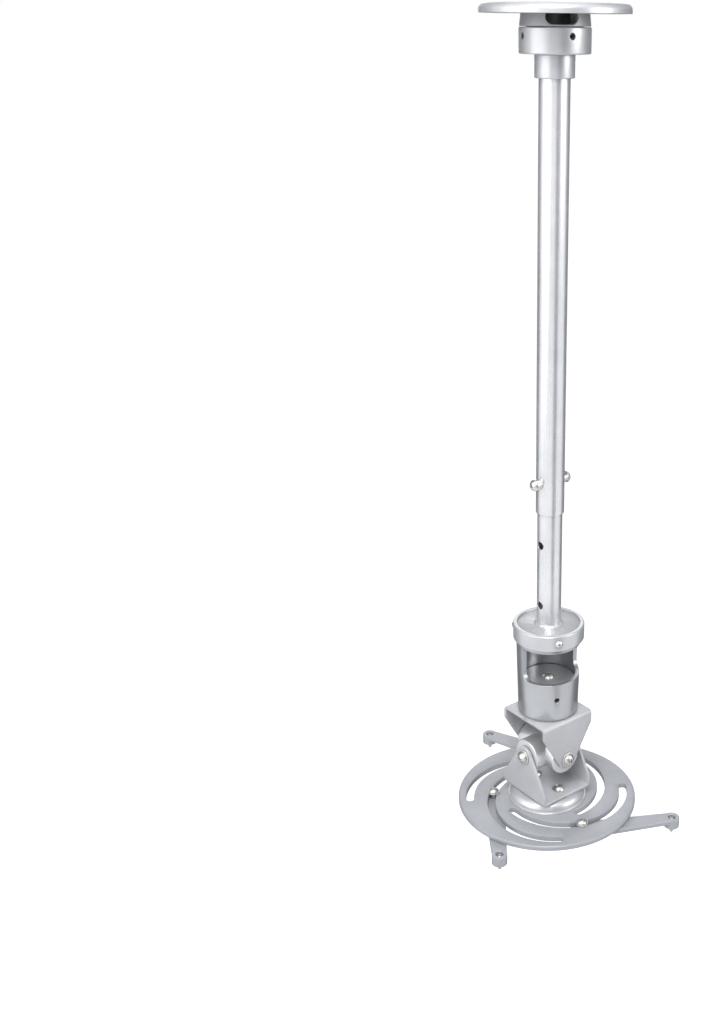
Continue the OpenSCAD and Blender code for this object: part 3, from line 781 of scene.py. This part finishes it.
class MOUNT_OT_pod(bpy.types.Operator):
    """Models the cable pod: cap ring, body with its milled window, swivel boss and their screws"""
    bl_idname = "mount.pod"
    bl_label = "Cable pod"

    def execute(self, context):
        cap_r = 39
        cap = lathe("cap", rounded([
            (POD_R, INNER_LOW), (cap_r, INNER_LOW), (cap_r, CAP_LOW), (POD_R, CAP_LOW)], 1.6, 5), FINE_ROUND)
        settle(cap, "pod_cap_ring")

        bore_r = 30
        body = lathe("body", [
            (bore_r, FLANGE_LOW), (POD_R - 0.4, FLANGE_LOW), (POD_R, FLANGE_LOW - 0.4), (POD_R, CAP_LOW),
            (35.4, CAP_LOW), (35.5, CAP_LOW - 0.3), (33.5, POD_LOW + 1.2), (33.2, POD_LOW + 0.4),
            (32.4, POD_LOW), (bore_r + 0.4, POD_LOW), (bore_r, POD_LOW + 0.4)], FINE_ROUND)
        # The window's corners are rounder below, and it leaves the pod's back whole
        low_r, top_r, near, window_turn = 9, 4, 4, -10
        outline = ([(50, WINDOW_TOP), *arc(near + top_r, WINDOW_TOP - top_r, top_r, 90, 180, 8),
                    *arc(near + low_r, WINDOW_LOW + low_r, low_r, 180, 270, 12), (50, WINDOW_LOW)])
        combine(body, put(prism("window", outline, -45, 45), spun(window_turn) @ spun(90, "X")))
        set_d = 6
        for k in range(3):
            combine(body, put(rod(set_d, 25, 40), outward(CAP_TURN + 120 * k, POD_SET_Z)))
        settle(body, "pod_body", coat="pod_metal")

        plug_r, groove_r, groove_half = 29.92, 26, 3.5
        plug = lathe("plug", [
            (0, FLOOR_Z), (plug_r - 1.5, FLOOR_Z), (plug_r, FLOOR_Z - 1.5),
            (plug_r, POD_SET_Z + groove_half), (groove_r, POD_SET_Z + groove_half),
            (groove_r, POD_SET_Z - groove_half), (plug_r, POD_SET_Z - groove_half),
            (plug_r, HEAD_TOP), (0, HEAD_TOP)], FINE_ROUND, closed=False)
        settle(plug, "swivel_boss")

        cap_screw_z, seat_r = INNER_LOW - 9, 38.8
        screws = []
        for k in range(3):
            screw = pan_screw("cap_screw", head_d=8, head_h=2.8, shank_d=4, length=8)
            screws.append(put(screw, outward(CAP_TURN + 120 * k, cap_screw_z) @ spot(0, 0, seat_r)))
        settle(join(screws, "cap_screws"), "cap_screws")
        centre = pan_screw("centre", 14, 4.5, BOLT_D, FLOOR_Z - HEAD_TOP + SHEET + NUT_COVER,
                           context.scene.mount_sizes.bolt_pitch, thread_from=-42)
        settle(put(centre, spot(0, 0, FLOOR_Z)), "boss_centre_screw")
        nut_h = 5.5
        settle(put(hex_nut("nut", NUT_FLATS, nut_h, BOLT_D), spot(0, 0, HEAD_TOP - SHEET)), "boss_nut")
        return {"FINISHED"}


def folded_bracket(name, holes, rounding):
    """Folded sheet bracket, its plate's inner face at z = 0 and its ears hanging on the two Y sides"""
    half, ear_r, straight = BRACKET_HALF, 12, 11
    bend_in, bend_out = 1.0, 1.0 + SHEET
    strip_low = -EAR_REACH - ear_r - 5
    section = [(half, strip_low)]
    section += arc(half - bend_out, -bend_in, bend_out, 0, 90, 8)
    section += arc(-half + bend_out, -bend_in, bend_out, 90, 180, 8)
    section += [(-half, strip_low), (-half + SHEET, strip_low)]
    section += arc(-half + bend_out, -bend_in, bend_in, 180, 90, 3)
    section += arc(half - bend_out, -bend_in, bend_in, 90, 0, 3)
    section += [(half - SHEET, strip_low)]
    strip = put(prism(name, section, -half, half), spun(90) @ spun(90, "X"))
    # The ears' straight sides run tangent to their round ends
    drop = EAR_REACH - straight
    far = math.hypot(half, drop)
    touch = math.degrees(math.acos(ear_r / far) - math.atan2(drop, half))
    outline = [(-half, 5), (-half, -straight), *arc(0, -EAR_REACH, ear_r, 180 + touch, 360 - touch, 28),
               (half, -straight), (half, 5)]
    combine(strip, put(prism("trim", outline, -60, 60), spun(90, "X")), "INTERSECT")
    # The edges are rounded before the holes are cut: after them, the bevel notched the plate's edge
    soften(strip, rounding, 3)
    hole_d = 8.2
    combine(strip, put(rod(hole_d, -50, 50), spot(0, 0, -EAR_REACH) @ spun(90, "X")))
    for x in holes:
        combine(strip, put(rod(hole_d, -5, 10), spot(x, 0, 0)))
    return strip


class MOUNT_OT_tilt_head(bpy.types.Operator):
    """Models the two folded brackets, the crossed barrels and the pivot screws"""
    bl_idname = "mount.tilt_head"
    bl_label = "Tilt head"

    def execute(self, context):
        sizes = context.scene.mount_sizes
        upper = folded_bracket("upper", (0,), sizes.sheet_edge)
        settle(put(upper, spot(0, 0, HEAD_TOP - SHEET) @ spun(90)), "upper_bracket")
        lower = folded_bracket("lower", BOLT_X, sizes.sheet_edge)
        settle(put(lower, spot(0, 0, PIVOT_Z - EAR_REACH) @ spun(180, "Y")), "lower_bracket")

        half, barrel_r, bore_r = 30.9, 19, BOLT_D / 2
        profile = rounded([(bore_r, -half), (barrel_r, -half), (barrel_r, half), (bore_r, half)], 1.0, 4)
        first = put(lathe("barrel", profile), spun(90, "Y"))
        second = put(lathe("barrel_b", profile), spun(90, "X"))
        for piece, axis in ((first, "X"), (second, "Y")):
            combine(piece, put(rod(BOLT_D, -40, 40), spun(90, axis)))
        block = combine(first, second, "UNION")
        settle(put(block, spot(0, 0, PIVOT_Z)), "cross_block")

        screw = pan_screw("pivot", head_d=14, head_h=5, shank_d=BOLT_D, length=22)
        ring = flat_washer("pivot_washer", 18, BOLT_D, WASHER_T - LIFT)
        for kind, turn in (("pitch", 0), ("roll", 90)):
            screws, washers = [], []
            for side in (0, 180):
                here = outward(turn + side, PIVOT_Z)
                screws.append(put(twin(screw, "s"), here @ spot(0, 0, BRACKET_HALF + WASHER_T)))
                washers.append(put(twin(ring, "w"), here @ spot(0, 0, BRACKET_HALF + LIFT)))
            settle(join(screws, kind), kind + "_screws")
            settle(join(washers, kind), kind + "_washers")
        discard(screw, ring)

        bolts, nuts = [], []
        for x in BOLT_X:
            bolt = pan_screw("bolt", 14, 5, BOLT_D, SHEET + DOME_H + DISC_T + NUT_COVER,
                             sizes.bolt_pitch, thread_from=-20)
            bolts.append(put(bolt, spot(x, 0, BASE_LOW + SHEET)))
            nuts.append(put(hex_nut("nut", NUT_FLATS, NUT_H, BOLT_D), spot(x, 0, DISC_LOW)))
        settle(join(bolts, "bolts"), "bracket_bolts")
        settle(join(nuts, "nuts"), "bracket_nuts")
        return {"FINISHED"}


def screw_at(n):
    """Where an arm's screw stands in its slot"""
    turn = ARC_TURN + 90 * ARM_SLOT[n]
    return around(ARC_R, turn + ARM_PLACE[n], *around(ARC_OFF, turn))


class MOUNT_OT_slotted_plate(bpy.types.Operator):
    """Models the hub dome, the plate with its four arc slots and the slot screws"""
    bl_idname = "mount.slotted_plate"
    bl_label = "Slotted plate"

    def execute(self, context):
        sizes = context.scene.mount_sizes
        # A thin foot ring, a step in, then the round shoulder
        dome_r, step_in, step_h, shoulder = 45, 2, 1.6, 9.9
        dome = lathe("dome", [
            (0, DISC_TOP), (dome_r - 0.4, DISC_TOP), (dome_r, DISC_TOP + 0.4), (dome_r, DISC_TOP + 1.2),
            (dome_r - 0.4, DISC_TOP + step_h),
            *arc(dome_r - step_in - shoulder, DISC_TOP + step_h, shoulder, 0, 90, 14),
            (0, BASE_LOW)], FINE_ROUND, closed=False)
        for x in BOLT_X:
            combine(dome, put(rod(BOLT_D, DISC_TOP - 3, BASE_LOW + 3), spot(x, 0, 0)))
        settle(dome, "hub_dome")

        flat_r, rim = 100, 2
        disc = lathe("disc", [
            (0, DISC_LOW), (flat_r, DISC_LOW), *arc(flat_r, DISC_LOW + rim, rim, -90, 0, 7)[1:],
            *arc(flat_r, DISC_TOP - rim, rim, 0, 90, 7), (0, DISC_TOP)], DISC_ROUND, closed=False)
        outline = arc(0, 0, ARC_R + SLOT_HALF, ARC_START, ARC_END, 72)
        outline += arc(*around(ARC_R, ARC_END), SLOT_HALF, ARC_END, ARC_END + 180, 14)[1:-1]
        outline += arc(0, 0, ARC_R - SLOT_HALF, ARC_END, ARC_START, 72)
        outline += arc(*around(ARC_R, ARC_START), SLOT_HALF, ARC_START + 180, ARC_START + 360, 14)[1:-1]
        for k in range(4):
            cutter = prism("slot", outline, DISC_LOW - 3, DISC_TOP + 3)
            combine(disc, put(cutter, spun(ARC_TURN + 90 * k) @ spot(ARC_OFF, 0, 0)))
        for x in BOLT_X:
            combine(disc, put(rod(BOLT_D, DISC_LOW - 3, DISC_TOP + 3), spot(x, 0, 0)))
        soften(disc, sizes.edge, 2, 50)
        settle(disc, "slotted_disc", coat="plate_paint")

        # Each screw runs through its washer, the plate, an arm and its nut, and 1 mm beyond
        screw = pan_screw("slot_screw", 11, 4, BOLT_D, WASHER_T + DISC_T + ARM_T + NUT_H + 1,
                          sizes.bolt_pitch, thread_from=-12)
        ring = flat_washer("slot_washer", 14, BOLT_D, WASHER_T - LIFT)
        nut = hex_nut("slot_nut", NUT_FLATS, NUT_H, BOLT_D)
        for n in range(3):
            x, y = screw_at(n)
            here = spot(x, y, DISC_TOP + WASHER_T) @ spun(23 + 41 * n)
            settle(put(twin(screw, "s"), here), f"slot_screw_{n + 1}")
            settle(put(twin(ring, "w"), spot(x, y, DISC_TOP + LIFT)), f"slot_washer_{n + 1}")
            settle(put(twin(nut, "n"), spot(x, y, NUT_TOP)), f"slot_nut_{n + 1}")
        discard(screw, ring, nut)
        return {"FINISHED"}


class MOUNT_OT_arms(bpy.types.Operator):
    """Models the three tapered arms with their foot bosses and captive foot screws"""
    bl_idname = "mount.arms"
    bl_label = "Arms"

    def execute(self, context):
        sizes = context.scene.mount_sizes
        length, big, small, foot_h, pivot_d = 105, 13, 8.5, 12, 8.16
        lean = math.degrees(math.asin((big - small) / length))
        tip = small - 0.4
        outline = arc(0, 0, big, 90 + lean, 270 - lean, 40) + arc(length, 0, tip, -90 - lean, 90 + lean, 24)
        arm = prism("arm", outline, ARM_LOW, ARM_TOP)
        soften(arm, sizes.sheet_edge, 3, 40)
        foot = lathe("foot", rounded([
            (0, ARM_TOP), (small, ARM_TOP), (small, ARM_TOP - foot_h), (0, ARM_TOP - foot_h)], 0.8, 4,
            closed=False), ROUND, closed=False)
        combine(arm, put(foot, spot(length, 0, 0)), "UNION")
        combine(arm, rod(pivot_d, ARM_LOW - 5, ARM_TOP + 5))
        # The foot's hole: a bore for the thread, and a pocket with a flared rim that the head sinks in
        bore_r, pocket_r, pocket, flare_r = 2.2, 4.5, 4, 5.6
        step = lathe("step", [
            (0, ARM_TOP - 20), (bore_r, ARM_TOP - 20), (bore_r, ARM_TOP - pocket),
            (pocket_r, ARM_TOP - pocket), (pocket_r, ARM_TOP - 0.4), (flare_r, ARM_TOP + 0.7),
            (flare_r, ARM_TOP + 3), (0, ARM_TOP + 3)], SMALL_ROUND, closed=False)
        combine(arm, put(step, spot(length, 0, 0)))
        boss_h, stands_out = foot_h - pocket, 8
        screw = pan_screw("foot", 8, 3, 4, boss_h + stands_out, sizes.foot_pitch, -boss_h)
        # The shank has a waist where it runs through the boss
        for vertex in screw.data.vertices:
            if -boss_h * MM < vertex.co.z < -0.2 * MM:
                vertex.co.x *= 0.8
                vertex.co.y *= 0.8
        for n in range(3):
            x, y = screw_at(n)
            here = spot(x, y, 0) @ spun(ARM_AIM[n])
            settle(put(twin(arm, "a"), here), f"arm_{n + 1}", coat="plate_paint")
            settle(put(twin(screw, "f"), here @ spot(length, 0, ARM_TOP - pocket)), f"foot_screw_{n + 1}")
        discard(arm, screw)
        return {"FINISHED"}


class MOUNT_PT_panel(bpy.types.Panel):
    """Lists the steps that dress the mount"""
    bl_idname = "MOUNT_PT_panel"
    bl_label = "Projector mount"
    bl_space_type = "VIEW_3D"
    bl_region_type = "UI"
    bl_category = "Mount"

    def draw(self, context):
        layout = self.layout
        for group in (context.scene.mount_sizes, context.scene.mount_colours):
            for name in group.__annotations__:
                layout.prop(group, name)
        for step in STEPS:
            layout.operator(step.bl_idname)


STEPS = (MOUNT_OT_studio, MOUNT_OT_cad_finish, MOUNT_OT_ceiling_end, MOUNT_OT_pole, MOUNT_OT_pod,
         MOUNT_OT_tilt_head, MOUNT_OT_slotted_plate, MOUNT_OT_arms)
CLASSES = (MountSizes, MountColours, *STEPS, MOUNT_PT_panel)


def register():
    for kind in CLASSES:
        bpy.utils.register_class(kind)
    bpy.types.Scene.mount_sizes = bpy.props.PointerProperty(type=MountSizes)
    bpy.types.Scene.mount_colours = bpy.props.PointerProperty(type=MountColours)


def unregister():
    del bpy.types.Scene.mount_colours
    del bpy.types.Scene.mount_sizes
    for kind in reversed(CLASSES):
        bpy.utils.unregister_class(kind)


def main():
    register()
    bpy.ops.mount.studio()
    bpy.ops.mount.cad_finish()
    bpy.ops.mount.ceiling_end()
    bpy.ops.mount.pole()
    bpy.ops.mount.pod()
    bpy.ops.mount.tilt_head()
    bpy.ops.mount.slotted_plate()
    bpy.ops.mount.arms()


if __name__ == "__main__":
    main()
